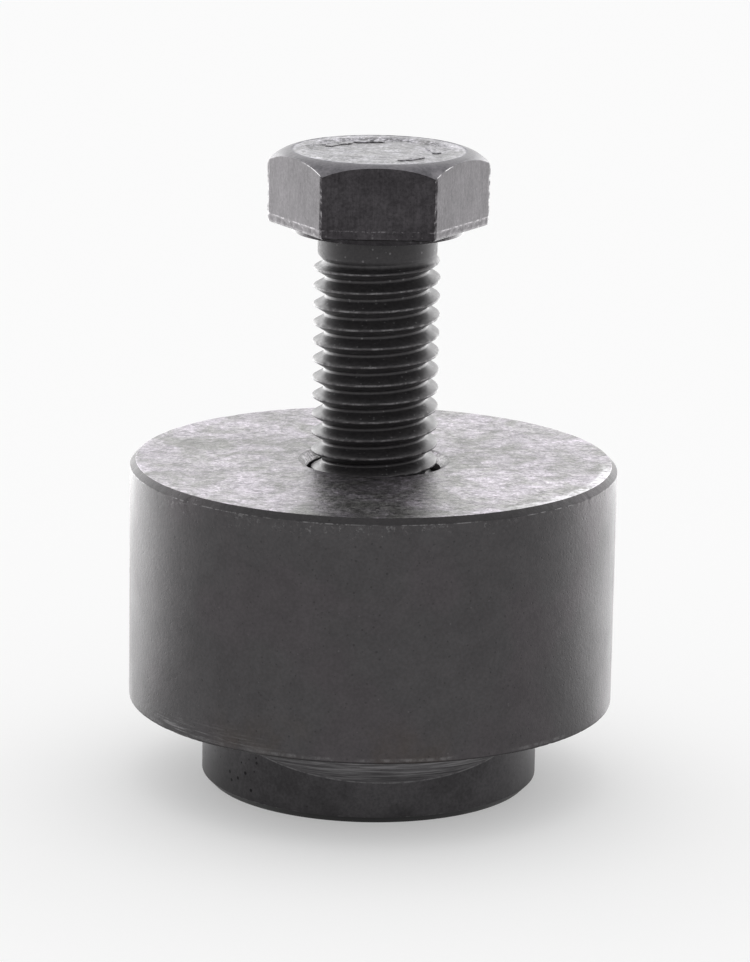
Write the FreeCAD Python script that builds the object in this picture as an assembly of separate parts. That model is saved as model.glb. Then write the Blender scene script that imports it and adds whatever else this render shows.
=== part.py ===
import FreeCAD, Part
import math
import os

# A screw-driven punch that cuts round holes in sheet steel, such as a sink top.
# The drive bolt runs free through the die and screws into the punch. Turning it in draws the
# punch up into the die, and the sheet between the two is sheared.
# The frame has +Z up, with its origin at the centre of the punch's foot, which stands on a bench.
# All sizes are in millimetres. The bolt's thread is left plain at its crest diameter.

os.makedirs("parts", exist_ok=True)

# Drive bolt
thread_diameter = 11.9
thread_pitch = 1.75
bolt_length = 50.0
neck_diameter = 11.1
neck_length = 2.5
neck_flare = 0.6
head_height = 7.6
across_flats = 18.0
top_circle_inset = 0.85
flat_chamfer_drop = 0.28
corner_chamfer_drop = 1.4
head_rim_width = 0.9
head_dish_slope = 1.1
head_dish_depth = 0.25
washer_face_inset = 0.9
washer_face_height = 0.6
bolt_end_above_bench = 3.05

# Punch
punch_diameter = 31.9
foot_height = 4.05
foot_chamfer = 0.75
land_step = 0.1
land_showing = 3.95
shear_depth = 5.5
valley_radius = 4.0
crown_rim_width = 4.6
crown_cup_depth = 1.2
crown_cup_corner = 0.8
punch_hole_chamfer = 0.7

# Die
die_wall = 7.05
web_thickness = 8.0
slug_chamber_depth = 15.0
cutting_land_height = 6.0
slug_relief = 0.6
top_chamfer = 0.55
rim_break = 0.25
bolt_hole_chamfer = 0.75
bolt_hole_break = 0.3

# Clearances between the pieces
thread_running_clearance = 0.05
bolt_hole_clearance = 0.35
punch_to_die_clearance = 0.1
point_to_roof_gap = 0.2

# Radii and heights that follow from the sizes above
thread_radius = thread_diameter / 2
thread_depth = 0.6134 * thread_pitch
neck_radius = neck_diameter / 2
flat_radius = across_flats / 2
corner_radius = flat_radius / math.cos(math.radians(30))
top_circle_radius = flat_radius - top_circle_inset
washer_face_radius = flat_radius - washer_face_inset

foot_radius = punch_diameter / 2
land_radius = foot_radius - land_step
die_rim_height = foot_height + land_showing
chamber_roof_height = die_rim_height + slug_chamber_depth
punch_height = chamber_roof_height - point_to_roof_gap
punch_hole_radius = thread_radius + thread_running_clearance

bore_radius = land_radius + punch_to_die_clearance
die_radius = bore_radius + die_wall
die_top_height = chamber_roof_height + web_thickness
bolt_hole_radius = thread_radius + bolt_hole_clearance

head_seat_height = bolt_end_above_bench + bolt_length
head_top_height = head_seat_height + head_height


def point(radius, height):
    """A point of a turned profile, in the plane of X and Z."""
    return FreeCAD.Vector(radius, 0, height)


def line(start, end):
    return Part.LineSegment(start, end).toShape()


def arc(start, middle, end):
    return Part.Arc(start, middle, end).toShape()


def closed_face(edges):
    return Part.Face(Part.Wire(edges))


def polyline(points):
    return [line(start, end) for start, end in zip(points, points[1:])]


def turned(edges):
    """A solid of revolution about Z from the closed edges of half its section."""
    return closed_face(edges).revolve(FreeCAD.Vector(0, 0, 0), FreeCAD.Vector(0, 0, 1), 360)


def single_solid(shape):
    cleaned = shape.removeSplitter()
    return cleaned.Solids[0]


def bolt_shank():
    """The plain-turned shank, its neck and the washer face under the head."""
    neck_end = head_seat_height - neck_length
    taper = thread_radius - neck_radius
    washer_top = head_seat_height + washer_face_height
    return turned(polyline([
        point(0, bolt_end_above_bench),
        point(thread_radius - thread_depth, bolt_end_above_bench),
        point(thread_radius, bolt_end_above_bench + thread_depth),
        point(thread_radius, neck_end),
        point(neck_radius, neck_end + taper),
        point(neck_radius, head_seat_height - neck_flare),
        point(neck_radius + neck_flare, head_seat_height),
        point(washer_face_radius, head_seat_height),
        point(washer_face_radius, washer_top),
        point(0, washer_top),
        point(0, bolt_end_above_bench),
    ]))


def head_envelope():
    """The turned form of the head: flat at the rim, steeper at the corners, dished on top."""
    base = head_seat_height + washer_face_height
    dish_radius = top_circle_radius - head_rim_width
    return turned(polyline([
        point(0, base),
        point(corner_radius, base),
        point(corner_radius, head_top_height - corner_chamfer_drop),
        point(flat_radius, head_top_height - flat_chamfer_drop),
        point(top_circle_radius, head_top_height),
        point(dish_radius, head_top_height),
        point(dish_radius - head_dish_slope, head_top_height - head_dish_depth),
        point(0, head_top_height - head_dish_depth),
        point(0, base),
    ]))


def hexagon_prism():
    """The six flats, one pair of which faces along Y."""
    base = head_seat_height + washer_face_height
    corners = []
    for turn in range(7):
        angle = math.radians(60 * turn)
        corners.append(FreeCAD.Vector(corner_radius * math.cos(angle), corner_radius * math.sin(angle), base))
    return closed_face(polyline(corners)).extrude(FreeCAD.Vector(0, 0, head_top_height - base))


def drive_bolt():
    head = hexagon_prism().common(head_envelope())
    return single_solid(head.fuse(bolt_shank()))


def die():
    """An upside-down cup: bolt hole in the web, slug chamber and cutting bore below it."""
    chamber_radius = bore_radius + slug_relief
    land_top = die_rim_height + cutting_land_height
    return single_solid(turned(polyline([
        point(bore_radius, die_rim_height),
        point(die_radius - rim_break, die_rim_height),
        point(die_radius, die_rim_height + rim_break),
        point(die_radius, die_top_height - top_chamfer),
        point(die_radius - top_chamfer, die_top_height),
        point(bolt_hole_radius + bolt_hole_chamfer, die_top_height),
        point(bolt_hole_radius, die_top_height - bolt_hole_chamfer),
        point(bolt_hole_radius, chamber_roof_height + bolt_hole_break),
        point(bolt_hole_radius + bolt_hole_break, chamber_roof_height),
        point(chamber_radius - slug_relief, chamber_roof_height),
        point(chamber_radius, chamber_roof_height - slug_relief),
        point(chamber_radius, land_top + slug_relief),
        point(bore_radius, land_top),
        point(bore_radius, die_rim_height),
    ])))


def punch_blank():
    """The turned punch with its foot, its finish-turned cutting land and its screw hole."""
    return turned(polyline([
        point(punch_hole_radius + punch_hole_chamfer, 0),
        point(foot_radius - foot_chamfer, 0),
        point(foot_radius, foot_chamfer),
        point(foot_radius, foot_height - land_step),
        point(land_radius, foot_height),
        point(land_radius, punch_height),
        point(punch_hole_radius, punch_height),
        point(punch_hole_radius, punch_hole_chamfer),
        point(punch_hole_radius + punch_hole_chamfer, 0),
    ]))


def shear_valley():
    """The wedge milled across the crown: it leaves two cutting points, at the ends of X."""
    slope = math.atan2(shear_depth, land_radius)
    valley_height = punch_height - shear_depth
    tangent_x = valley_radius * math.sin(slope)
    tangent_height = valley_height + tangent_x * math.tan(slope)
    lowest = valley_height + valley_radius / math.cos(slope) - valley_radius
    reach = 2 * land_radius
    high = valley_height + reach * math.tan(slope)
    left = FreeCAD.Vector(-reach, -reach, high)
    left_tangent = FreeCAD.Vector(-tangent_x, -reach, tangent_height)
    bottom = FreeCAD.Vector(0, -reach, lowest)
    right_tangent = FreeCAD.Vector(tangent_x, -reach, tangent_height)
    right = FreeCAD.Vector(reach, -reach, high)
    edges = [line(left, left_tangent), arc(left_tangent, bottom, right_tangent)]
    edges += [line(right_tangent, right), line(right, left)]
    return closed_face(edges).extrude(FreeCAD.Vector(0, 2 * reach, 0))


def crown_cup():
    """The hollow inside the cutting rim, with the countersink of the screw hole in its floor."""
    cup_radius = land_radius - crown_rim_width
    floor = punch_height - shear_depth - crown_cup_depth
    return turned(polyline([
        point(0, floor - punch_hole_chamfer),
        point(punch_hole_radius, floor - punch_hole_chamfer),
        point(punch_hole_radius + punch_hole_chamfer, floor),
        point(cup_radius - crown_cup_corner, floor),
        point(cup_radius, floor + crown_cup_corner),
        point(cup_radius, punch_height),
        point(0, punch_height),
        point(0, floor - punch_hole_chamfer),
    ]))


def punch():
    return single_solid(punch_blank().cut(shear_valley()).cut(crown_cup()))


drive_bolt().exportStep("parts/drive_bolt.step")
die().exportStep("parts/die.step")
punch().exportStep("parts/punch.step")
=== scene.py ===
import math

import bmesh
import bpy
import numpy as np
from mathutils import Matrix, Vector, noise


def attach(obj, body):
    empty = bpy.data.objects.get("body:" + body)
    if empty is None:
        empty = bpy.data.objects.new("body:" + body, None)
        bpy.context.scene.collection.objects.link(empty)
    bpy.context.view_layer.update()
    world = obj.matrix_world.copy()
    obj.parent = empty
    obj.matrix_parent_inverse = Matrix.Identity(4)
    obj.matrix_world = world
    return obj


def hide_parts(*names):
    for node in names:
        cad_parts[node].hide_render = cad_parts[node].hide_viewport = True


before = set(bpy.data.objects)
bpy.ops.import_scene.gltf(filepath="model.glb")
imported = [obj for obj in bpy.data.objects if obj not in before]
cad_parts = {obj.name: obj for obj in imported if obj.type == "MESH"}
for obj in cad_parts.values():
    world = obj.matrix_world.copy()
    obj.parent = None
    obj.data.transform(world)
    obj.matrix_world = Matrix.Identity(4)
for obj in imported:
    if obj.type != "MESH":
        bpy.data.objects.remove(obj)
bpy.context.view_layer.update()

MM = 0.001

# Sizes of the real object, in millimetres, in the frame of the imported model

# Drive bolt
BOLT_END = 3.05
HEAD_SEAT = 53.05
HEAD_TOP = 60.65
WASHER_TOP = 53.65
WASHER_RADIUS = 8.1
FLAT_RADIUS = 9.0
CORNER_RADIUS = FLAT_RADIUS / math.cos(math.radians(30))
TOP_CIRCLE_RADIUS = 8.15
DISH_RIM_WIDTH = 0.9
DISH_SLOPE = 1.1
DISH_DEPTH = 0.25
NECK_RADIUS = 5.6
NECK_FLARE = 0.6
RUN_OUT_START = 49.75
RUN_OUT_END = 51.1
CREST_RADIUS = 5.95
PITCH = 1.75
THREAD_DEPTH = 0.6134 * PITCH
POINT_INSET = 0.1

# Height at which a crest of the thread passes the +X side
CREST_AT_X = 39.83

# The head's chamfer falls away from the top circle by a slope and a curve
CHAMFER_SLOPE = 0.182
CHAMFER_CURVE = 0.1595

# The pressed strip round the foot of the head, and the rounding below it
TRIM_HEIGHT = 0.85
TRIM_DEPTH = 0.025
BOTTOM_ROUNDING = 0.25

# Plain raised dashes on the head: place round it in degrees, distance from the axis, straight length
HEAD_MARKS = [
    (141, 5.6, 1.0), (127, 5.6, 1.0), (134, 6.55, 2.2),
    (104, 5.9, 1.3), (93, 5.9, 0.7),
    (22, 5.3, 1.0), (8, 5.3, 1.0),
    (-42, 4.6, 1.1), (-58, 4.6, 0.8),
]
MARK_WIDTH = 0.95
MARK_LEVEL = HEAD_TOP - DISH_DEPTH - 0.05

# Section of a dash: how far in from its outline, and the height there
MARK_SECTION = [(0.0, -0.12), (0.02, 0.05), (0.1, 0.095), (0.2, 0.1)]

# Die
DIE_RADIUS = 23.0
DIE_RIM = 8.0
DIE_TOP = 31.0
DIE_CHAMFER = 0.55
BORE_RADIUS = 15.95
CHAMBER_RADIUS = 16.55
CHAMBER_ROOF = 23.0
CHAMBER_CORNER = 0.6
LAND_TOP = 14.0
BOLT_HOLE_RADIUS = 6.3
HOLE_CHAMFER = 0.75
HOLE_BREAK = 0.3

# Wear of the die's edges: size of the noise's circle, its start, its step to the next edge, depths
WEAR_CIRCLE = 26.0
WEAR_START = 3.7
WEAR_STEP = 7.0
DENT_DEPTH = 0.12
NICK_DEPTH = 0.05

# Punch
FOOT_RADIUS = 15.95
FOOT_HEIGHT = 4.05
FOOT_CHAMFER = 0.75
LAND_RADIUS = 15.93
TAPER_BELOW = 0.6
TAPER_ABOVE = 0.4
PUNCH_TOP = 22.8
SHEAR_DEPTH = 5.5
VALLEY_RADIUS = 4.0
CUP_RADIUS = 11.25
CUP_FLOOR = 16.1
CUP_CORNER = 0.8
SCREW_HOLE_RADIUS = 6.0
SCREW_HOLE_CHAMFER = 0.7
SCREW_HOLE_START = SCREW_HOLE_CHAMFER + 0.15

# The ridge of the punch's own thread: radii, half widths, and where it starts and ends
RIDGE_FOOT_RADIUS = SCREW_HOLE_RADIUS + 0.02
RIDGE_TIP_RADIUS = 5.1
RIDGE_TIP_STEP = 0.02
RIDGE_FOOT_HALF = 0.76
RIDGE_SHOULDER_HALF = 0.24
RIDGE_TIP_HALF = 0.2
RIDGE_LOW = 1.6
RIDGE_HIGH = 14.6

# The bright band of the punch: its lower edge is lowest at the front and rises to both sides
BAND_FRONT = math.radians(-84)
BAND_RISE = 4.9
BAND_HIGHEST = 8.3


# Mesh building

# The longest share of a side that the rounding of a corner takes
CORNER_SHARE = 0.48


def rounded(points, radii, steps=5):
    """The closed outline through the points, each corner rounded by its radius."""
    outline = []
    count = len(points)
    for i in range(count):
        here = np.array(points[i], float)
        back = np.array(points[i - 1], float) - here
        ahead = np.array(points[(i + 1) % count], float) - here
        radius = radii[i]
        if radius <= 0:
            outline.append(tuple(here))
            continue
        back_length = np.linalg.norm(back)
        ahead_length = np.linalg.norm(ahead)
        back = back / back_length
        ahead = ahead / ahead_length
        half = math.acos(max(-1.0, min(1.0, float(back @ ahead)))) / 2
        reach = min(radius / math.tan(half), CORNER_SHARE * back_length, CORNER_SHARE * ahead_length)
        for k in range(steps + 1):
            t = k / steps
            a = here + back * reach * (1 - t)
            b = here + ahead * reach * t
            outline.append(tuple(a * (1 - t) + b * t))
    return outline


def spread(outline, longest, closed=True):
    """The same outline with more points on its long straight runs."""
    finer = []
    ends = outline[1:] + outline[:1] if closed else outline[1:]
    for a, b in zip(outline, ends):
        pieces = max(1, math.ceil(math.dist(a, b) / longest))
        for k in range(pieces):
            t = k / pieces
            finer.append((a[0] + (b[0] - a[0]) * t, a[1] + (b[1] - a[1]) * t))
    return finer if closed else finer + outline[-1:]


def grid_faces(rows, columns, closed_rows):
    """Quads between rings of points, each ring closed on itself, and the last to the first if asked."""
    faces = []
    for i in range(rows if closed_rows else rows - 1):
        a = i * columns
        b = ((i + 1) % rows) * columns
        for j in range(columns):
            k = (j + 1) % columns
            faces.append((a + j, a + k, b + k, b + j))
    return faces


def shade(mesh, smooth_angle):
    mesh.shade_smooth()
    mesh.set_sharp_from_angle(angle=math.radians(smooth_angle))


def mesh_object(name, points, faces, smooth_angle=35):
    """A mesh object from points in millimetres, shaded smooth up to an angle."""
    mesh = bpy.data.meshes.new(name)
    mesh.from_pydata([tuple(p) for p in np.asarray(points) * MM], [], faces)
    mesh.validate()
    mesh.update()
    made = bpy.data.objects.new(name, mesh)
    bpy.context.scene.collection.objects.link(made)
    shade(mesh, smooth_angle)
    return made


def closed_by_merging(made, distance=1e-7):
    """Merges the points that coincide and closes the open ends."""
    work = bmesh.new()
    work.from_mesh(made.data)
    bmesh.ops.remove_doubles(work, verts=work.verts, dist=distance)
    bmesh.ops.dissolve_degenerate(work, edges=work.edges, dist=distance)
    open_edges = [e for e in work.edges if e.is_boundary]
    if open_edges:
        bmesh.ops.holes_fill(work, edges=open_edges)
    bmesh.ops.recalc_face_normals(work, faces=work.faces)
    work.to_mesh(made.data)
    work.free()
    made.data.update()
    return made


# The die

def worn(theta, edge):
    """How far an edge is worn back at this place: mostly nothing, now and then a nick."""
    x = math.cos(theta) * WEAR_CIRCLE
    y = math.sin(theta) * WEAR_CIRCLE
    place = Vector((x, y, WEAR_STEP * edge + WEAR_START))
    dent = max(0.0, noise.noise(place) - 0.28)
    nick = max(0.0, noise.noise(place * 3.1) - 0.15)
    return DENT_DEPTH * dent + NICK_DEPTH * nick


def make_die():
    """The upside-down cup, turned from its section, with dents and nicks in its outer edges."""
    columns = 600
    shoulder = DIE_TOP - DIE_CHAMFER
    outline = rounded(
        [
            (BORE_RADIUS, DIE_RIM),
            (DIE_RADIUS, DIE_RIM),
            (DIE_RADIUS, DIE_RIM + 0.9),
            (DIE_RADIUS, shoulder - 0.5),
            (DIE_RADIUS, shoulder),
            (DIE_RADIUS - DIE_CHAMFER, DIE_TOP),
            (DIE_RADIUS - DIE_CHAMFER - 0.5, DIE_TOP),
            (BOLT_HOLE_RADIUS + HOLE_CHAMFER, DIE_TOP),
            (BOLT_HOLE_RADIUS, DIE_TOP - HOLE_CHAMFER),
            (BOLT_HOLE_RADIUS, CHAMBER_ROOF + HOLE_BREAK),
            (BOLT_HOLE_RADIUS + HOLE_BREAK, CHAMBER_ROOF),
            (CHAMBER_RADIUS, CHAMBER_ROOF),
            (CHAMBER_RADIUS, LAND_TOP + CHAMBER_CORNER),
            (BORE_RADIUS, LAND_TOP),
        ],
        [0.04, 0.3, 0.0, 0.0, 0.1, 0.07, 0.0, 0.1, 0.12, 0.1, 0.1, CHAMBER_CORNER, 0.1, 0.1],
    )
    outline = spread(outline, 1.2)
    # The worn edges, and how far from each the wear reaches
    edges = [
        ((DIE_RADIUS, DIE_RIM), 0.55),
        ((DIE_RADIUS, shoulder), 0.3),
        ((DIE_RADIUS - DIE_CHAMFER, DIE_TOP), 0.25),
    ]
    points = []
    for radius, height in outline:
        near = [max(0.0, 1 - math.dist((radius, height), place) / reach) for place, reach in edges]
        for j in range(columns):
            theta = 2 * math.pi * j / columns
            inward = 0.0
            for k, share in enumerate(near):
                if share > 0:
                    inward += share * worn(theta, k)
            r = radius - inward
            z = height + (inward * 0.6 if height < CHAMBER_ROOF else -inward * 0.5)
            points.append((r * math.cos(theta), r * math.sin(theta), z))
    made = mesh_object("die_cup", points, grid_faces(len(outline), columns, True))
    return closed_by_merging(made)


# The punch

def crown_height(x):
    """Height of the milled crown at this distance across the valley."""
    slope = math.atan2(SHEAR_DEPTH, LAND_RADIUS)
    valley = PUNCH_TOP - SHEAR_DEPTH
    tangent = VALLEY_RADIUS * math.sin(slope)
    if abs(x) >= tangent:
        return valley + abs(x) * math.tan(slope)
    centre = valley + VALLEY_RADIUS / math.cos(slope)
    return centre - math.sqrt(VALLEY_RADIUS ** 2 - x * x)


def make_punch():
    """The punch from its screw hole round the foot and up to the crown, and back down the cup."""
    columns = 480
    skirt_top = 9.0
    skirt_steps = 8
    rim_steps = 6
    wall_steps = 4
    corner_steps = 4
    hole_steps = 12
    hole_mouth = SCREW_HOLE_RADIUS + SCREW_HOLE_CHAMFER
    lower = rounded(
        [
            (SCREW_HOLE_RADIUS, SCREW_HOLE_START),
            (SCREW_HOLE_RADIUS, SCREW_HOLE_CHAMFER),
            (hole_mouth, 0.0),
            (FOOT_RADIUS - FOOT_CHAMFER, 0.0),
            (FOOT_RADIUS, FOOT_CHAMFER),
            (FOOT_RADIUS, FOOT_HEIGHT - TAPER_BELOW),
            (LAND_RADIUS, FOOT_HEIGHT + TAPER_ABOVE),
            (LAND_RADIUS, skirt_top),
        ],
        [0.0, 0.1, 0.08, 0.12, 0.12, 0.0, 0.0, 0.0],
        steps=4,
    )
    lower = spread(lower, 0.8, closed=False)
    rings = [[(r, z)] * columns for r, z in lower]
    angles = [2 * math.pi * j / columns for j in range(columns)]
    crown = [crown_height(LAND_RADIUS * math.cos(a)) for a in angles]
    for k in range(1, skirt_steps + 1):
        rings.append([(LAND_RADIUS, skirt_top + (top - skirt_top) * k / skirt_steps) for top in crown])
    for k in range(1, rim_steps + 1):
        radius = LAND_RADIUS + (CUP_RADIUS - LAND_RADIUS) * k / rim_steps
        rings.append([(radius, crown_height(radius * math.cos(a))) for a in angles])
    base = CUP_FLOOR + CUP_CORNER
    lip = [crown_height(CUP_RADIUS * math.cos(a)) for a in angles]
    for k in reversed(range(wall_steps)):
        rings.append([(CUP_RADIUS, base + (top - base) * k / wall_steps) for top in lip])
    for k in range(1, corner_steps + 1):
        turn = math.pi / 2 * k / corner_steps
        inward = CUP_CORNER * (1 - math.cos(turn))
        rings.append([(CUP_RADIUS - inward, base - CUP_CORNER * math.sin(turn))] * columns)
    rings.append([(hole_mouth, CUP_FLOOR)] * columns)
    hole_top = CUP_FLOOR - SCREW_HOLE_CHAMFER
    for k in range(hole_steps):
        height = hole_top + (SCREW_HOLE_START - hole_top) * k / hole_steps
        rings.append([(SCREW_HOLE_RADIUS, height)] * columns)
    points = []
    for ring in rings:
        for a, (r, z) in zip(angles, ring):
            points.append((r * math.cos(a), r * math.sin(a), z))
    made = mesh_object("punch_cutter", points, grid_faces(len(rings), columns, True))
    return closed_by_merging(made)


def make_punch_thread():
    """The ridge of the screw hole's thread, which winds between the bolt's threads."""
    columns = 96
    fade = 24
    section = [
        (RIDGE_FOOT_RADIUS, -RIDGE_FOOT_HALF),
        (RIDGE_TIP_RADIUS + RIDGE_TIP_STEP, -RIDGE_SHOULDER_HALF),
        (RIDGE_TIP_RADIUS, -RIDGE_TIP_HALF),
        (RIDGE_TIP_RADIUS, RIDGE_TIP_HALF),
        (RIDGE_TIP_RADIUS + RIDGE_TIP_STEP, RIDGE_SHOULDER_HALF),
        (RIDGE_FOOT_RADIUS, RIDGE_FOOT_HALF),
    ]
    count = int((RIDGE_HIGH - RIDGE_LOW) / PITCH * columns)
    start = math.ceil((RIDGE_LOW - CREST_AT_X - PITCH / 2) / PITCH)
    points = []
    for i in range(count + 1):
        theta = 2 * math.pi * i / columns
        middle = CREST_AT_X + PITCH / 2 + PITCH * (start + i / columns)
        rise = min(1.0, i / fade, (count - i) / fade)
        for r, offset in section:
            deep = RIDGE_FOOT_RADIUS - (RIDGE_FOOT_RADIUS - r) * rise
            points.append((deep * math.cos(theta), deep * math.sin(theta), middle + offset))
    faces = []
    n = len(section)
    for i in range(count):
        for j in range(n):
            k = (j + 1) % n
            faces.append((i * n + j, i * n + k, (i + 1) * n + k, (i + 1) * n + j))
    faces.append(tuple(range(n)))
    faces.append(tuple(count * n + j for j in reversed(range(n))))
    made = mesh_object("punch_thread", points, faces)
    return closed_by_merging(made)


# The drive bolt

# Half a turn of the thread's section: distance along the axis from the crest, and depth below it
THREAD_SECTION = [
    (0.0, 0.0), (0.06, 0.006), (0.11, 0.03), (0.15, 0.075), (0.33, 0.375), (0.5, 0.67),
    (0.68, 0.98), (0.74, 1.045), (0.81, 1.068), (0.875, THREAD_DEPTH),
]


def smooth(value, low, high):
    """Rises from 0 at low to 1 at high, with soft ends."""
    t = max(0.0, min(1.0, (value - low) / (high - low)))
    return t * t * (3 - 2 * t)


def thread_radius(theta, z):
    """Radius of the shank's surface: helical thread, point chamfer, run-out and neck."""
    along = (z - CREST_AT_X - PITCH * theta / (2 * math.pi)) % PITCH
    offset = min(along, PITCH - along)
    for (a, deep_a), (b, deep_b) in zip(THREAD_SECTION, THREAD_SECTION[1:]):
        if offset <= b:
            depth = deep_a + (deep_b - deep_a) * (offset - a) / (b - a)
            break
    spot = Vector((math.cos(theta) * CREST_RADIUS, math.sin(theta) * CREST_RADIUS, z))
    chipped = max(0.0, noise.noise(spot * 2.3) - 0.1) * smooth(depth, 0.25, 0.0)
    radius = CREST_RADIUS - depth - 0.1 * chipped
    radius += (NECK_RADIUS - radius) * smooth(z, RUN_OUT_START, RUN_OUT_END)
    radius = min(radius, CREST_RADIUS - THREAD_DEPTH - POINT_INSET + (z - BOLT_END))
    flare = min(z - (HEAD_SEAT - NECK_FLARE), NECK_FLARE)
    if flare > 0:
        radius += NECK_FLARE - math.sqrt(max(0.0, NECK_FLARE ** 2 - flare ** 2))
    return radius


def make_bolt_shank():
    """The thread in rows that climb with it, one pitch a turn, and level rows for the neck."""
    columns = 144
    smooth_angle = 50
    low, high = BOLT_END, RUN_OUT_END
    rising = {round(o, 4) for o, _ in THREAD_SECTION}
    falling = {round(PITCH - o, 4) for o, _ in THREAD_SECTION[1:]}
    offsets = sorted(rising | falling)
    per_turn = len(offsets)
    first = math.floor((low - CREST_AT_X) / PITCH) - 2
    last = math.ceil((high - CREST_AT_X) / PITCH) + 1
    rows = [CREST_AT_X + PITCH * turn + o for turn in range(first, last) for o in offsets]
    points = []
    for start in rows:
        for j in range(columns):
            theta = 2 * math.pi * j / columns
            z = min(max(start + PITCH * j / columns, low), high)
            r = thread_radius(theta, z)
            points.append((r * math.cos(theta), r * math.sin(theta), z))
    faces = []
    for k in range(len(rows) - 1):
        a = k * columns
        b = a + columns
        for j in range(columns - 1):
            faces.append((a + j, a + j + 1, b + j + 1, b + j))
        if k + per_turn + 1 < len(rows):
            c = a + per_turn * columns
            faces.append((a + columns - 1, c, c + columns, b + columns - 1))
    base = len(points) - columns
    heights = [HEAD_SEAT - below for below in (1.3, 0.9, 0.6, 0.45, 0.3, 0.15, 0.04, -0.1)]
    for z in heights:
        for j in range(columns):
            theta = 2 * math.pi * j / columns
            r = thread_radius(theta, z)
            points.append((r * math.cos(theta), r * math.sin(theta), z))
    for i in range(len(heights)):
        a = base + i * columns
        for j in range(columns):
            k = (j + 1) % columns
            faces.append((a + j, a + k, a + columns + k, a + columns + j))
    made = mesh_object("bolt_shank", points, faces, smooth_angle)
    closed_by_merging(made, 2e-7)
    shade(made.data, smooth_angle)
    return made


def hexagon_radius(theta):
    """Distance from the axis to the hexagon's side, with corners at both ends of X."""
    turn = (theta + math.pi / 6) % (math.pi / 3) - math.pi / 6
    return FLAT_RADIUS / math.cos(math.pi / 6 - abs(turn))


def chamfer_height(radius):
    """The rounded chamfer between the top circle and the corners of the head."""
    out = max(0.0, radius - TOP_CIRCLE_RADIUS)
    return HEAD_TOP - CHAMFER_SLOPE * out - CHAMFER_CURVE * out * out


def head_side_point(angle, share):
    """A point of the head's side, from its bottom edge up to the edge of the chamfer."""
    full = hexagon_radius(angle)
    edge = chamfer_height(full)
    z = WASHER_TOP + (edge - WASHER_TOP) * share
    spot = Vector((math.cos(angle) * FLAT_RADIUS, math.sin(angle) * FLAT_RADIUS, z))
    corner = max(0.0, 1 - (CORNER_RADIUS - full) / 0.17)
    ragged = noise.noise(spot * 1.5) + 0.8 * noise.noise(spot * 3.7)
    r = full - corner * max(0.02, 0.06 + 0.09 * ragged) - 0.005
    r += 0.008 * noise.noise(spot * 0.6)
    lift = z - WASHER_TOP
    if lift < BOTTOM_ROUNDING:
        r -= BOTTOM_ROUNDING - math.sqrt(max(0.0, BOTTOM_ROUNDING ** 2 - (BOTTOM_ROUNDING - lift) ** 2))
    pressed = smooth(lift, TRIM_HEIGHT + 0.05 * noise.noise(spot * 0.9), TRIM_HEIGHT - 0.12)
    r -= pressed * (TRIM_DEPTH + 0.02 * noise.noise(Vector((spot.x * 1.6, spot.y * 1.6, z * 2.5))))
    return r, z


def make_bolt_head():
    """The washer face, the six sides, the chamfer and the dished top, ring by ring."""
    columns = 900
    side_steps = 60
    chamfer_steps = 8
    angles = [2 * math.pi * j / columns for j in range(columns)]
    under = [
        (0.5, HEAD_SEAT),
        (5.0, HEAD_SEAT),
        (WASHER_RADIUS - 0.12, HEAD_SEAT),
        (WASHER_RADIUS - 0.03, HEAD_SEAT + 0.03),
        (WASHER_RADIUS, HEAD_SEAT + 0.12),
        (WASHER_RADIUS, WASHER_TOP - 0.02),
        (WASHER_RADIUS + 0.1, WASHER_TOP),
    ]
    rings = [[place] * columns for place in under]
    for k in range(side_steps + 1):
        rings.append([head_side_point(a, k / side_steps) for a in angles])
    for k in range(1, chamfer_steps + 1):
        ring = []
        for a in angles:
            full = hexagon_radius(a) - 0.02
            r = full + (TOP_CIRCLE_RADIUS - full) * k / chamfer_steps
            spot = Vector((math.cos(a) * r, math.sin(a) * r, 4.0))
            ring.append((r, chamfer_height(r) - 0.01 - 0.015 * abs(noise.noise(spot * 1.3))))
        rings.append(ring)
    dish_rim = TOP_CIRCLE_RADIUS - DISH_RIM_WIDTH
    top = [TOP_CIRCLE_RADIUS - back for back in (0.05, 0.12, 0.3, 0.6)]
    top += [dish_rim - back for back in (0.0, 0.15, 0.35, 0.65, 0.9)]
    top += [dish_rim - DISH_SLOPE - 0.4 * k for k in range(15)]
    for radius in top:
        deep = DISH_DEPTH * smooth(dish_rim - radius, 0.0, DISH_SLOPE)
        deep += 0.03 * smooth(TOP_CIRCLE_RADIUS - radius, 0.0, 0.12)
        ring = []
        for a in angles:
            spot = Vector((math.cos(a) * radius, math.sin(a) * radius, 9.0))
            rough = 0.02 * noise.noise(spot * 0.8) + 0.012 * noise.noise(spot * 2.6)
            ring.append((radius, HEAD_TOP - deep - 0.02 + rough))
        rings.append(ring)
    points = []
    for row in rings:
        for a, (r, z) in zip(angles, row):
            points.append((r * math.cos(a), r * math.sin(a), min(z, HEAD_TOP)))
    made = mesh_object("bolt_head", points, grid_faces(len(rings), columns, False), 38)
    return closed_by_merging(made)


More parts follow.
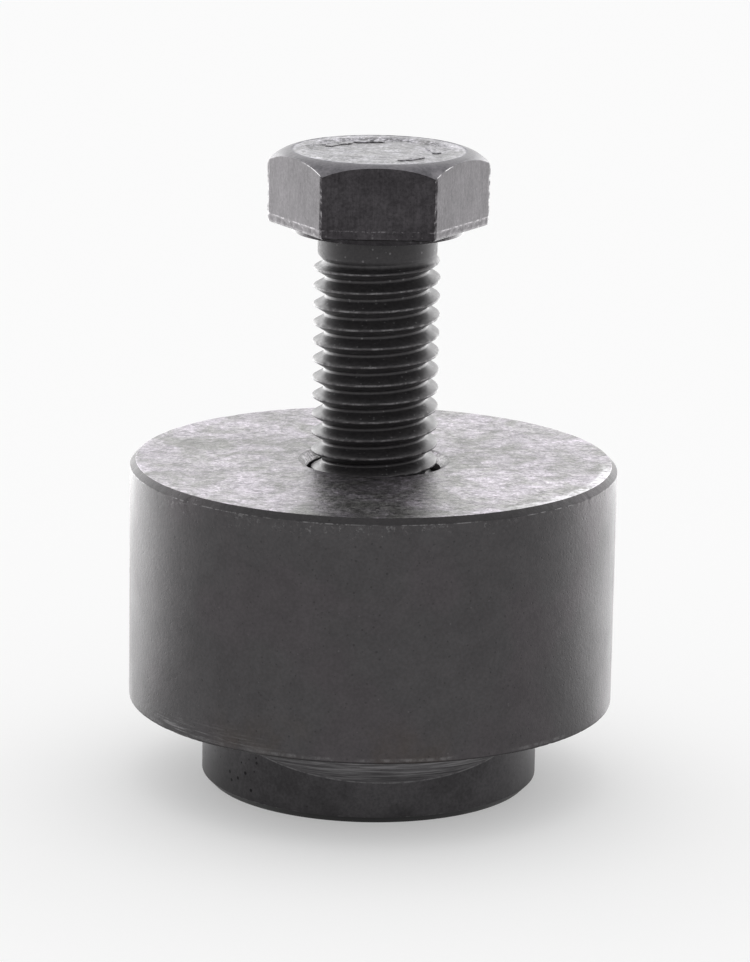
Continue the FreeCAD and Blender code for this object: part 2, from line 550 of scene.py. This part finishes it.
def make_head_marks():
    """Plain raised dashes round the top of the head, where the real one carries lettering."""
    points = []
    faces = []
    steps = 10
    count = 2 * (steps + 1)
    last = len(MARK_SECTION) - 1
    for turn, radius, length in HEAD_MARKS:
        angle = math.radians(turn)
        centre = np.array((radius * math.cos(angle), radius * math.sin(angle)))
        heading = angle + math.pi / 2
        along = np.array((math.cos(heading), math.sin(heading)))
        across = np.array((-along[1], along[0]))
        first = len(points)
        for inset, height in MARK_SECTION:
            half = MARK_WIDTH / 2 - inset
            for end in (1, -1):
                for k in range(steps + 1):
                    sweep = math.pi * (k / steps - 0.5)
                    forward = end * (length / 2 + half * math.cos(sweep))
                    aside = end * half * math.sin(sweep)
                    x, y = centre + along * forward + across * aside
                    points.append((x, y, MARK_LEVEL + height))
        for ring in range(last):
            a = first + ring * count
            for j in range(count):
                k = (j + 1) % count
                faces.append((a + j, a + k, a + count + k, a + count + j))
        faces.append(tuple(first + j for j in reversed(range(count))))
        faces.append(tuple(first + last * count + j for j in range(count)))
    made = mesh_object("head_marks", points, faces, 50)
    return closed_by_merging(made)


# Materials

class Finish:
    """A material with short calls for its nodes. Places are in millimetres on the piece itself."""

    def __init__(self, name):
        self.material = bpy.data.materials.new(name)
        self.material.use_nodes = True
        self.tree = self.material.node_tree
        self.shader = self.tree.nodes["Principled BSDF"]
        self.shader.inputs["Metallic"].default_value = 1.0
        coords = self.tree.nodes.new("ShaderNodeTexCoord").outputs["Object"]
        self.place = self.scaled(coords, (1 / MM, 1 / MM, 1 / MM))
        split = self.tree.nodes.new("ShaderNodeSeparateXYZ")
        self.link(self.place, split.inputs[0])
        self.x, self.y, self.z = split.outputs
        x_squared = self.math("MULTIPLY", self.x, self.x)
        y_squared = self.math("MULTIPLY", self.y, self.y)
        self.radius = self.math("SQRT", self.math("ADD", x_squared, y_squared))
        self.turn = self.math("ARCTAN2", self.y, self.x)
        normal = self.tree.nodes.new("ShaderNodeSeparateXYZ")
        self.link(self.tree.nodes.new("ShaderNodeNewGeometry").outputs["Normal"], normal.inputs[0])
        self.up = normal.outputs[2]

    def link(self, source, target):
        self.tree.links.new(source, target)

    def put(self, value, target):
        """Links a node's output to the socket, or sets a plain value on it."""
        if isinstance(value, bpy.types.NodeSocket):
            self.link(value, target)
        else:
            target.default_value = value

    def math(self, operation, a, b=0.0):
        node = self.tree.nodes.new("ShaderNodeMath")
        node.operation = operation
        self.put(a, node.inputs[0])
        self.put(b, node.inputs[1])
        return node.outputs[0]

    def product(self, *values):
        result = values[0]
        for value in values[1:]:
            result = self.math("MULTIPLY", result, value)
        return result

    def scaled(self, vector, scale, moved=(0, 0, 0)):
        node = self.tree.nodes.new("ShaderNodeMapping")
        self.link(vector, node.inputs["Vector"])
        node.inputs["Scale"].default_value = scale
        node.inputs["Location"].default_value = moved
        return node.outputs[0]

    def vector(self, x, y, z):
        node = self.tree.nodes.new("ShaderNodeCombineXYZ")
        for value, target in zip((x, y, z), node.inputs):
            self.put(value, target)
        return node.outputs[0]

    def noise(self, scale, detail=2.0, roughness=0.5, place=None, distortion=0.0):
        node = self.tree.nodes.new("ShaderNodeTexNoise")
        self.link(self.place if place is None else place, node.inputs["Vector"])
        node.inputs["Scale"].default_value = scale
        node.inputs["Detail"].default_value = detail
        node.inputs["Roughness"].default_value = roughness
        node.inputs["Distortion"].default_value = distortion
        return node.outputs["Fac"]

    def dots(self, scale, radius, share):
        """Scattered round dots: a share of random points, each with a dot of this radius in mm."""
        node = self.tree.nodes.new("ShaderNodeTexVoronoi")
        self.link(self.place, node.inputs["Vector"])
        node.inputs["Scale"].default_value = scale
        split = self.tree.nodes.new("ShaderNodeSeparateColor")
        self.link(node.outputs["Color"], split.inputs[0])
        chosen = self.between(split.outputs[0], 1 - share, 1 - share + 0.02)
        size = self.math("MULTIPLY_ADD", split.outputs[1], radius * scale * 0.6)
        size.node.inputs[2].default_value = radius * scale * 0.6
        inside = self.math("DIVIDE", node.outputs["Distance"], size)
        return self.product(chosen, self.between(inside, 0.6, 1.0, 1.0, 0.0))

    def between(self, value, low, high, to_low=0.0, to_high=1.0):
        """Goes smoothly from to_low, where the value is low, to to_high, where it is high."""
        node = self.tree.nodes.new("ShaderNodeMapRange")
        node.clamp = True
        node.interpolation_type = "SMOOTHSTEP"
        self.put(value, node.inputs["Value"])
        node.inputs["From Min"].default_value = low
        node.inputs["From Max"].default_value = high
        node.inputs["To Min"].default_value = to_low
        node.inputs["To Max"].default_value = to_high
        return node.outputs[0]

    def band(self, value, middle, half, soft):
        """One inside the band, zero outside it, with soft edges."""
        away = self.math("ABSOLUTE", self.math("SUBTRACT", value, middle))
        return self.between(away, half, half + soft, 1.0, 0.0)

    def mix(self, share, a, b):
        node = self.tree.nodes.new("ShaderNodeMix")
        node.data_type = "RGBA"
        self.put(share, node.inputs[0])
        for value, target in ((a, node.inputs[6]), (b, node.inputs[7])):
            if isinstance(value, tuple):
                value = (*value, 1.0)
            self.put(value, target)
        return node.outputs[2]

    def times(self, colour, factor):
        """A colour made lighter or darker by a grey factor."""
        node = self.tree.nodes.new("ShaderNodeVectorMath")
        node.operation = "SCALE"
        self.link(colour, node.inputs[0])
        self.put(factor, node.inputs["Scale"])
        return node.outputs[0]

    def bump(self, height, strength, distance):
        node = self.tree.nodes.new("ShaderNodeBump")
        node.inputs["Strength"].default_value = strength
        node.inputs["Distance"].default_value = distance * MM
        self.link(height, node.inputs["Height"])
        self.link(node.outputs[0], self.shader.inputs["Normal"])

    def finish(self, colour, roughness):
        self.put(colour, self.shader.inputs["Base Color"])
        self.put(roughness, self.shader.inputs["Roughness"])
        return self.material


def mottled_top(f, dark, light, scale, fine):
    """Blotches of a worn, oiled face: tinted patches, short strokes and fine grain."""
    blotch = f.noise(scale, 6.0, 0.7, distortion=0.6)
    colour = f.mix(f.between(blotch, 0.36, 0.64), dark, light)
    wide = f.noise(scale * 0.35, 2.0, 0.5, f.scaled(f.place, (1, 1, 1), (40, 15, 0)))
    colour = f.times(colour, f.between(wide, 0.35, 0.65, 0.84, 1.1))
    strokes = f.noise(1.5, 4.0, 0.8, f.scaled(f.place, (0.9, 1.0, 1.0)), distortion=1.2)
    colour = f.times(colour, f.between(strokes, 0.34, 0.66, 1 - 0.42 * fine, 1 + 0.34 * fine))
    scratches = f.noise(1.4, 3.0, 0.6, f.scaled(f.place, (0.5, 1.2, 1.0), (9, 3, 0)), distortion=1.0)
    colour = f.times(colour, f.between(scratches, 0.56, 0.66, 1.0, 1 - 0.4 * fine))
    grain = f.noise(2.6, 3.0, 0.75)
    return f.times(colour, f.between(grain, 0.25, 0.75, 1 - 0.35 * fine, 1 + 0.35 * fine)), grain


# Base colours that the finishes mix in where the dark surface is worn, stained or rubbed, and for painted
# highlights on edges and crests
RUST_STAIN = (0.078, 0.066, 0.058)
SCRATCHED = (0.30, 0.295, 0.30)
POLISHED = (0.62, 0.61, 0.63)
WORN_CREST_AND_HIGHLIGHT = (0.20, 0.195, 0.20)
FLECK = (0.18, 0.175, 0.18)
FOOT_LINE = (0.15, 0.147, 0.15)
BAND_EDGE_HIGHLIGHT = (0.18, 0.176, 0.18)
TRIM_FLECK = (0.16, 0.155, 0.16)
TRIM_LINE = (0.22, 0.21, 0.22)
RUBBED_CORNER = (0.30, 0.29, 0.31)
CHAMFER_EDGE_HIGHLIGHT = (0.30, 0.292, 0.30)
CIRCLE_LINE = (0.085, 0.082, 0.100)
CIRCLE_SHINE = (0.42, 0.41, 0.44)


def die_finish():
    """Blackened side with stains, pits, chips and scuffs, and a paler mottled top."""
    f = Finish("blackened_die")
    shoulder = DIE_TOP - DIE_CHAMFER

    # The side: clouds, a warm tinge, a rust stain near the rim, haze and grain
    cloud = f.noise(0.13, 3.0, 0.55)
    side = f.mix(f.between(cloud, 0.3, 0.7), (0.068, 0.065, 0.067), (0.078, 0.075, 0.077))
    warm = f.noise(0.09, 2.0, 0.5, f.scaled(f.place, (1, 1, 1), (5, 9, 0)))
    side = f.mix(f.between(warm, 0.5, 0.62, 0.0, 0.6), side, (0.077, 0.070, 0.074))
    rust = f.product(
        f.between(f.z, DIE_RIM + 1, DIE_RIM + 5, 1.0, 0.0),
        f.between(cloud, 0.45, 0.6),
        f.between(f.turn, -2.3, -2.1),
        f.between(f.turn, -1.4, -1.1, 1.0, 0.0),
    )
    side = f.mix(f.product(rust, 0.5), side, RUST_STAIN)
    haze = f.noise(0.45, 4.0, 0.6)
    side = f.times(side, f.between(haze, 0.3, 0.7, 0.94, 1.06))
    grain = f.noise(3.4, 2.0, 0.6)
    side = f.times(side, f.between(grain, 0.25, 0.75, 0.92, 1.08))
    rough = f.noise(2.3, 4.0, 0.75)

    # The top, and the chamfer in the mouth of the bolt hole, made darker with lighter flecks and a dark
    # line round its edge
    top, top_grain = mottled_top(f, (0.210, 0.208, 0.200), (0.410, 0.378, 0.422), 0.24, 1.05)
    # Painted light: the top is painted lighter towards +X
    top = f.times(top, f.between(f.x, -20.0, 20.0, 0.97, 1.12))
    top = f.times(top, f.between(f.noise(0.5, 4.0, 0.7), 0.36, 0.46, 0.72, 1.0))
    mouth_radius = BOLT_HOLE_RADIUS + HOLE_CHAMFER
    mouth = f.between(f.radius, mouth_radius + 1, mouth_radius + 2, 0.3, 0.0)
    on_top = f.between(f.math("ADD", f.up, mouth), 0.8, 0.95)
    flecks = f.between(rough, 0.35, 0.6, 0.15, 0.6)
    outside = f.between(f.radius, mouth_radius - 0.1, mouth_radius)
    top = f.times(top, f.math("MAXIMUM", outside, flecks))
    top = f.times(top, f.math("SUBTRACT", 1.0, f.product(f.band(f.radius, mouth_radius, 0.05, 0.08), 0.5)))
    colour = f.mix(on_top, side, top)

    # Pits all over
    fine_pits = f.dots(1.7, 0.11, 0.8)
    large_pits = f.dots(0.7, 0.13, 0.2)
    pits = f.math("MAXIMUM", f.product(fine_pits, 0.2), f.product(large_pits, 0.25))
    colour = f.times(colour, f.math("SUBTRACT", 1.0, pits))

    # Chips below the top edge, bright lines on both edges, scuffs at the lower left
    patchy = f.noise(0.16, 3.0, 0.6, f.scaled(f.place, (1, 1, 1), (3, 20, 0)))
    wear = f.noise(1.6, 4.0, 0.7)
    nearness = f.between(f.z, shoulder - 3.5, shoulder, 0.0, 0.14)
    chipped = f.math("ADD", f.noise(2.2, 5.0, 0.85), nearness)
    chips = f.product(
        f.between(chipped, 0.68, 0.76),
        f.between(f.z, shoulder - 0.1, shoulder, 1.0, 0.0),
        f.between(patchy, 0.43, 0.56, 0.15, 1.0),
    )
    stray = f.product(f.dots(1.1, 0.09, 0.3), 0.12)
    stretches = f.between(f.noise(0.14, 2.0, 0.5, f.scaled(f.place, (1, 1, 1), (0, 31, 0))), 0.44, 0.56)
    # Painted shade: the colour of the top chamfer is darkened by 15 per cent
    edge = f.product(f.band(f.up, 0.55, 0.22, 0.1), f.between(f.radius, DIE_RADIUS - 1, DIE_RADIUS - 0.8))
    colour = f.times(colour, f.math("SUBTRACT", 1.0, f.product(edge, 0.15)))
    line = f.product(
        f.band(f.z, shoulder - 0.02, 0.01, 0.06),
        f.between(wear, 0.42, 0.62),
        stretches,
        0.7,
    )
    rim = f.product(f.band(f.z, DIE_RIM + 0.4, 0.05, 0.2), f.between(wear, 0.35, 0.7), stretches, 0.3)
    scuffs = f.noise(1.0, 4.0, 0.75, f.scaled(f.place, (0.25, 0.25, 5.0)))
    scuffed = f.product(
        f.between(scuffs, 0.5, 0.66),
        f.between(f.z, DIE_RIM + 0.4, DIE_RIM + 2.6, 1.0, 0.0),
        f.between(f.turn, -2.75, -2.5),
        f.between(f.turn, -2.25, -1.85, 1.0, 0.0),
        0.5,
    )
    bright = f.math("MAXIMUM", f.math("MAXIMUM", line, rim), f.product(chips, 0.32))
    bright = f.math("MAXIMUM", f.math("MAXIMUM", bright, scuffed), stray)
    colour = f.mix(bright, colour, SCRATCHED)

    # The polished stretch of the top's rim, on the right, and the shaded underside of the rim
    rubbed = f.product(
        f.band(f.radius, DIE_RADIUS - DIE_CHAMFER - 0.3, 0.35, 0.5),
        f.between(f.up, 0.8, 0.95),
        f.between(f.turn, -1.15, -0.7),
        f.between(f.turn, -0.15, 0.05, 1.0, 0.0),
        f.between(wear, 0.38, 0.55),
    )
    colour = f.mix(rubbed, colour, POLISHED)
    below_rim = f.product(f.between(f.z, DIE_RIM + 0.16, DIE_RIM + 0.26, 1.0, 0.0), 0.45)
    colour = f.times(colour, f.math("SUBTRACT", 1.0, below_rim))

    relief = f.math("ADD", f.product(f.math("ADD", grain, top_grain), 0.25), f.product(rough, 1.3))
    relief = f.math("SUBTRACT", relief, f.product(f.math("ADD", fine_pits, large_pits), 0.5))
    f.bump(relief, 0.5, 0.05)

    # The top is glossier than the side, and the edge between them duller
    side_gloss = f.between(cloud, 0.3, 0.7, 0.42, 0.50)
    top_gloss = f.between(top_grain, 0.3, 0.7, 0.33, 0.41)
    gloss = f.math("MULTIPLY_ADD", on_top, f.math("SUBTRACT", top_gloss, side_gloss))
    f.link(side_gloss, gloss.node.inputs[2])
    gloss = f.math("ADD", gloss, f.product(edge, 0.1))
    return f.finish(colour, gloss)


def punch_finish():
    """Blackened foot below a turned, brighter band whose lower edge rises to both sides."""
    f = Finish("blackened_punch")
    cloud = f.noise(0.2, 4.0, 0.6)
    body = f.mix(f.between(cloud, 0.35, 0.65), (0.046, 0.044, 0.046), (0.071, 0.068, 0.071))
    grain = f.noise(3.4, 2.0, 0.6)
    body = f.times(body, f.between(grain, 0.25, 0.75, 0.86, 1.14))
    away = f.math("COSINE", f.math("SUBTRACT", f.turn, BAND_FRONT))
    edge = f.math("SUBTRACT", FOOT_HEIGHT + BAND_RISE, f.product(away, BAND_RISE))
    edge = f.math("MINIMUM", edge, BAND_HIGHEST)
    above = f.math("SUBTRACT", f.z, edge)
    turned_place = f.vector(f.product(f.turn, 2.5), f.product(f.z, 5.5), 0.0)
    streaks = f.noise(1.0, 4.0, 0.75, turned_place)
    turned = f.mix(f.between(streaks, 0.38, 0.66), (0.058, 0.056, 0.058), (0.160, 0.156, 0.160))
    # Painted light: the turned band is painted lighter the higher it stands above its lower edge
    turned = f.times(turned, f.between(above, 0.3, 1.6, 0.9, 1.3))
    colour = f.mix(f.between(above, -0.1, 0.3), body, turned)
    wear = f.noise(1.4, 3.0, 0.7)
    # Painted highlight: a broken light line along the band's lower edge
    line = f.product(f.band(above, 0.0, 0.02, 0.08), f.between(wear, 0.35, 0.6, 0.1, 0.6))
    colour = f.mix(line, colour, BAND_EDGE_HIGHLIGHT)
    # Painted shade: the downward-facing chamfer of the foot is painted darker
    colour = f.times(colour, f.between(f.z, FOOT_CHAMFER - 0.1, FOOT_CHAMFER, 0.3, 1.0))
    foot_edge = f.product(f.band(f.z, FOOT_CHAMFER, 0.02, 0.05), f.between(wear, 0.5, 0.62, 0.0, 0.5))
    colour = f.mix(foot_edge, colour, FOOT_LINE)
    on_left = f.between(f.x, -11.0, -9.0, 1.0, 0.0)
    left_pits = f.product(f.dots(1.2, 0.2, 0.8), on_left, 0.8)
    pits = f.math("MAXIMUM", left_pits, f.product(f.dots(1.5, 0.11, 0.5), 0.22))
    colour = f.times(colour, f.math("SUBTRACT", 1.0, pits))
    relief = f.math("SUBTRACT", f.product(f.math("ADD", grain, streaks), 0.2), pits)
    f.bump(relief, 0.4, 0.02)
    return f.finish(colour, f.between(cloud, 0.3, 0.7, 0.42, 0.50))


def shank_finish():
    """Black oiled thread with flecks, a worn crest with a painted highlight, and painted shade below the
    head.
    """
    f = Finish("oiled_thread")
    f.shader.inputs["Metallic"].default_value = 0.45
    grain = f.noise(3.0, 3.0, 0.7)
    colour = f.mix(f.between(grain, 0.3, 0.7), (0.036, 0.034, 0.036), (0.056, 0.053, 0.055))
    specks = f.dots(2.4, 0.12, 0.24)
    colour = f.mix(f.product(specks, 0.7), colour, FLECK)
    # Worn crest with a painted highlight: the crest is painted lighter in broken stretches
    crest = f.between(f.radius, CREST_RADIUS - 0.035, CREST_RADIUS - 0.004)
    worn_crest_and_highlight = f.product(crest, f.between(f.noise(1.1, 5.0, 0.75), 0.42, 0.64, 0.1, 1.0))
    colour = f.mix(worn_crest_and_highlight, colour, WORN_CREST_AND_HIGHLIGHT)
    neck = f.between(f.z, RUN_OUT_END - 0.7, RUN_OUT_END - 0.2)
    # Painted shade under the head: the neck is painted darker towards the head
    colour = f.times(colour, f.between(f.z, HEAD_SEAT - 0.8, HEAD_SEAT - 0.2, 1.0, 0.7))
    f.bump(grain, 0.3, 0.02)
    gloss = f.math("ADD", f.between(grain, 0.3, 0.7, 0.32, 0.42), f.product(neck, 0.2))
    return f.finish(colour, gloss)


def head_finish():
    """Dark drawn sides with a pressed strip at their foot, a grey chamfer and a mottled top."""
    f = Finish("forged_head")
    blotch = f.noise(0.5, 4.0, 0.6)
    streaks = f.noise(1.0, 3.0, 0.7, f.scaled(f.place, (3.5, 3.5, 0.25)))
    side = f.mix(f.between(blotch, 0.35, 0.65), (0.040, 0.037, 0.040), (0.057, 0.053, 0.057))
    side = f.times(side, f.between(streaks, 0.3, 0.7, 0.88, 1.12))
    grain = f.noise(3.2, 3.0, 0.7)
    side = f.times(side, f.between(grain, 0.25, 0.75, 0.76, 1.24))

    # The pressed strip and the broken line above it
    trim = WASHER_TOP + TRIM_HEIGHT
    pressed = f.between(f.z, trim - 0.12, trim - 0.02, 1.0, 0.0)
    specks = f.product(f.dots(2.2, 0.16, 0.45), pressed)
    side = f.mix(f.product(specks, 0.5), side, TRIM_FLECK)
    # Painted shade: the washer and the foot of the sides are painted darker below the hexagon
    side = f.times(side, f.between(f.z, WASHER_TOP - 0.02, WASHER_TOP + 0.05, 0.6, 1.0))
    ragged = f.math("ADD", f.z, f.math("MULTIPLY", f.noise(0.9, 3.0, 0.6), 0.25))
    broken = f.between(f.noise(1.2, 4.0, 0.75), 0.46, 0.60)
    side = f.mix(f.product(f.band(ragged, trim + 0.12, 0.025, 0.06), broken, 0.6), side, TRIM_LINE)

    # The top and the chamfer round it, rubbed at the corners
    top, top_grain = mottled_top(f, (0.170, 0.165, 0.170), (0.270, 0.262, 0.286), 0.55, 1.65)
    inner = TOP_CIRCLE_RADIUS - DISH_RIM_WIDTH
    top = f.times(top, f.between(f.radius, inner - 1.2, inner, 0.92, 1.2))
    chamfer = f.mix(f.between(blotch, 0.3, 0.7), (0.088, 0.085, 0.093), (0.126, 0.120, 0.130))
    chamfer = f.times(chamfer, f.between(grain, 0.25, 0.75, 0.78, 1.22))
    rubbed = f.product(f.between(f.radius, 9.3, 10.0), f.between(blotch, 0.4, 0.6))
    chamfer = f.mix(f.product(rubbed, 0.35), chamfer, RUBBED_CORNER)
    outside = f.between(f.radius, TOP_CIRCLE_RADIUS - 0.08, TOP_CIRCLE_RADIUS)
    top = f.mix(outside, top, chamfer)
    inside = f.between(f.radius, 7.9, 8.0, 0.45, 0.0)
    raised = f.product(inside, f.between(f.z, HEAD_TOP - 1, HEAD_TOP - 0.5))
    colour = f.mix(f.math("MAXIMUM", f.between(f.up, 0.45, 0.7), raised), side, top)

    # Painted highlight: bright lines where the chamfer meets the side faces, strongest towards the front
    out = f.math("SUBTRACT", f.radius, TOP_CIRCLE_RADIUS)
    fall = f.product(out, f.math("ADD", f.product(out, CHAMFER_CURVE), CHAMFER_SLOPE))
    below = f.math("ADD", f.math("SUBTRACT", f.z, HEAD_TOP), fall)
    chamfer_highlight = f.product(
        f.band(below, -0.03, 0.04, 0.05),
        f.between(f.up, 0.2, 0.5, 1.0, 0.0),
        f.between(f.math("ABSOLUTE", f.x), 5.25, 5.4),
        f.between(f.radius, 9.05, 9.4),
        f.between(f.y, -4.6, -2.6, 1.0, 0.15),
        f.between(f.noise(0.8, 3.0, 0.6), 0.4, 0.56),
    )
    colour = f.mix(chamfer_highlight, colour, CHAMFER_EDGE_HIGHLIGHT)

    # The dark line of the top circle and the shine inside it
    flat = f.between(f.up, 0.6, 0.8)
    rim = f.product(f.band(f.radius, TOP_CIRCLE_RADIUS, 0.06, 0.08), flat)
    colour = f.mix(f.product(rim, 0.85), colour, CIRCLE_LINE)
    shine = f.product(f.band(f.radius, TOP_CIRCLE_RADIUS - 0.28, 0.05, 0.12), flat)
    colour = f.mix(f.product(shine, f.between(blotch, 0.35, 0.55), 0.5), colour, CIRCLE_SHINE)
    f.bump(f.math("ADD", f.math("ADD", grain, top_grain), f.product(streaks, 0.5)), 0.3, 0.02)
    return f.finish(colour, f.between(blotch, 0.3, 0.7, 0.30, 0.38))


# Building and dressing the pieces

def dress(piece, body, material, node):
    """Gives a piece its material, the body that it rides on and the node that it replaces."""
    piece.data.materials.append(material)
    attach(piece, body)
    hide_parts(node)


punch_material = punch_finish()
head_material = head_finish()
dress(make_die(), "die", die_finish(), "die")
dress(make_punch(), "punch", punch_material, "punch")
dress(make_punch_thread(), "punch", punch_material, "punch")
dress(make_bolt_shank(), "drive_bolt", shank_finish(), "drive_bolt")
dress(make_bolt_head(), "drive_bolt", head_material, "drive_bolt")
dress(make_head_marks(), "drive_bolt", head_material, "drive_bolt")


# Floor, light and camera

# The floor: its colour, and the share of plain white at the object and from SHADOW_REACH on
FLOOR_COLOUR = (0.95, 0.95, 0.95)
FLOOR_REACH = 6000.0
FLOOR_WHITENESS = 0.5
SHADOW_WHITENESS = 0.34
SHADOW_REACH = 42.0

# The world's strength in front of the object and behind it, and the Y of the direction at which
# each of the two begins to change into the other
WORLD_FRONT = 0.64
WORLD_BACK = 1.52
WORLD_FRONT_END = -0.4
WORLD_BACK_START = 0.8

# The softboxes behind both shoulders and the low tables of light at both sides
BOX_OUT = 84.0
BOX_BACK = 88.0
BOX_SIZE = 112.0
BOX_ABOVE_FLOOR = 1
BOX_LEFT = 3.5
BOX_RIGHT = 2.8
TABLE_START = 20.0
TABLE_WIDTH = 170.0
TABLE_FRONT = 10.0
TABLE_LENGTH = 220.0
TABLE_HEIGHT = 0.5
TABLE_LEFT = 1.65
TABLE_RIGHT = 1.6

# The camera that was fitted to the photograph
CAMERA_PLACE = (0.143, -420.17, 131.64)
CAMERA_TARGET = (0.143, 0.0, 28.917)
CAMERA_ROLL = math.radians(1.03)
PICTURE_HEIGHT = 962
FOCAL_PIXELS = 4574.8
SENSOR = 36.0


def make_floor():
    """A pale floor, partly plain white to the camera and in the metal, which keeps the shadow."""
    far = FLOOR_REACH
    corners = [(-far, -far, 0), (far, -far, 0), (far, far, 0), (-far, far, 0)]
    floor = mesh_object("floor", corners, [(0, 1, 2, 3)])
    made = bpy.data.materials.new("pale_floor")
    made.use_nodes = True
    tree = made.node_tree
    shader = tree.nodes["Principled BSDF"]
    shader.inputs["Base Color"].default_value = (*FLOOR_COLOUR, 1.0)
    shader.inputs["Roughness"].default_value = 1.0
    shader.inputs["Specular IOR Level"].default_value = 0.0
    away = tree.nodes.new("ShaderNodeVectorMath")
    away.operation = "LENGTH"
    tree.links.new(tree.nodes.new("ShaderNodeTexCoord").outputs["Object"], away.inputs[0])
    whiteness = tree.nodes.new("ShaderNodeMapRange")
    whiteness.interpolation_type = "SMOOTHSTEP"
    whiteness.inputs["From Min"].default_value = (FOOT_RADIUS - FOOT_CHAMFER) * MM
    whiteness.inputs["From Max"].default_value = SHADOW_REACH * MM
    whiteness.inputs["To Min"].default_value = SHADOW_WHITENESS
    whiteness.inputs["To Max"].default_value = FLOOR_WHITENESS
    tree.links.new(away.outputs["Value"], whiteness.inputs["Value"])
    rays = tree.nodes.new("ShaderNodeLightPath")
    seen = tree.nodes.new("ShaderNodeMath")
    seen.operation = "ADD"
    tree.links.new(rays.outputs["Is Camera Ray"], seen.inputs[0])
    tree.links.new(rays.outputs["Is Glossy Ray"], seen.inputs[1])
    share = tree.nodes.new("ShaderNodeMath")
    share.operation = "MULTIPLY"
    tree.links.new(seen.outputs[0], share.inputs[0])
    tree.links.new(whiteness.outputs[0], share.inputs[1])
    white = tree.nodes.new("ShaderNodeEmission")
    blend = tree.nodes.new("ShaderNodeMixShader")
    tree.links.new(share.outputs[0], blend.inputs[0])
    tree.links.new(shader.outputs[0], blend.inputs[1])
    tree.links.new(white.outputs[0], blend.inputs[2])
    tree.links.new(blend.outputs[0], tree.nodes["Material Output"].inputs["Surface"])
    made.cycles.emission_sampling = "NONE"
    floor.data.materials.append(made)


def make_world():
    """A soft studio that is brighter behind the object than in front of it."""
    world = bpy.data.worlds.new("studio")
    world.use_nodes = True
    tree = world.node_tree
    direction = tree.nodes.new("ShaderNodeSeparateXYZ")
    tree.links.new(tree.nodes.new("ShaderNodeTexCoord").outputs["Generated"], direction.inputs[0])
    share = tree.nodes.new("ShaderNodeMapRange")
    share.interpolation_type = "SMOOTHSTEP"
    share.inputs["From Min"].default_value = WORLD_FRONT_END
    share.inputs["From Max"].default_value = WORLD_BACK_START
    share.inputs["To Min"].default_value = WORLD_FRONT
    share.inputs["To Max"].default_value = WORLD_BACK
    tree.links.new(direction.outputs[1], share.inputs["Value"])
    background = tree.nodes["Background"]
    background.inputs["Color"].default_value = (1.0, 1.0, 1.0, 1.0)
    tree.links.new(share.outputs[0], background.inputs["Strength"])
    bpy.context.scene.world = world


def make_lamp(place, facing, width, length, radiance):
    """A rectangular lamp in millimetres, which shows in the metal and not on the floor."""
    lamp = bpy.data.lights.new("soft_lamp", "AREA")
    lamp.shape = "RECTANGLE"
    lamp.size = width * MM
    lamp.size_y = length * MM
    lamp.energy = radiance * math.pi * lamp.size * lamp.size_y
    made = bpy.data.objects.new("soft_lamp", lamp)
    made.location = Vector(place) * MM
    made.rotation_euler = (-Vector(facing)).to_track_quat("Z", "Y").to_euler()
    made.visible_camera = False
    made.visible_diffuse = False
    bpy.context.scene.collection.objects.link(made)


def make_side_light(side, box, table):
    """An upright softbox behind one shoulder and a bright table top on the same side."""
    out = side * BOX_OUT
    box_middle = (out, BOX_BACK, BOX_SIZE / 2 + BOX_ABOVE_FLOOR)
    make_lamp(box_middle, (-out, -BOX_BACK, 0), BOX_SIZE, BOX_SIZE, box)
    table_out = side * (TABLE_START + TABLE_WIDTH / 2)
    table_middle = (table_out, TABLE_FRONT + TABLE_LENGTH / 2, TABLE_HEIGHT)
    make_lamp(table_middle, (0, 0, 1), TABLE_WIDTH, TABLE_LENGTH, table)


def make_camera():
    """The photograph's camera, rolled a little about its own axis."""
    data = bpy.data.cameras.new("camera")
    data.sensor_fit = "VERTICAL"
    data.sensor_height = SENSOR
    data.lens = SENSOR * FOCAL_PIXELS / PICTURE_HEIGHT
    data.clip_start = 0.01
    data.clip_end = 100.0
    camera = bpy.data.objects.new("camera", data)
    bpy.context.scene.collection.objects.link(camera)
    place = Vector(CAMERA_PLACE) * MM
    forward = (Vector(CAMERA_TARGET) * MM - place).normalized()
    right = forward.cross(Vector((0, 0, 1))).normalized()
    up = right.cross(forward)
    rolled_right = math.cos(CAMERA_ROLL) * right + math.sin(CAMERA_ROLL) * up
    rolled_up = -math.sin(CAMERA_ROLL) * right + math.cos(CAMERA_ROLL) * up
    turn = Matrix((rolled_right, rolled_up, -forward)).transposed()
    camera.matrix_world = Matrix.Translation(place) @ turn.to_4x4()
    bpy.context.scene.camera = camera


make_floor()
make_world()
make_side_light(-1, BOX_LEFT, TABLE_LEFT)
make_side_light(1, BOX_RIGHT, TABLE_RIGHT)
make_camera()
bpy.context.scene.view_settings.view_transform = "Standard"
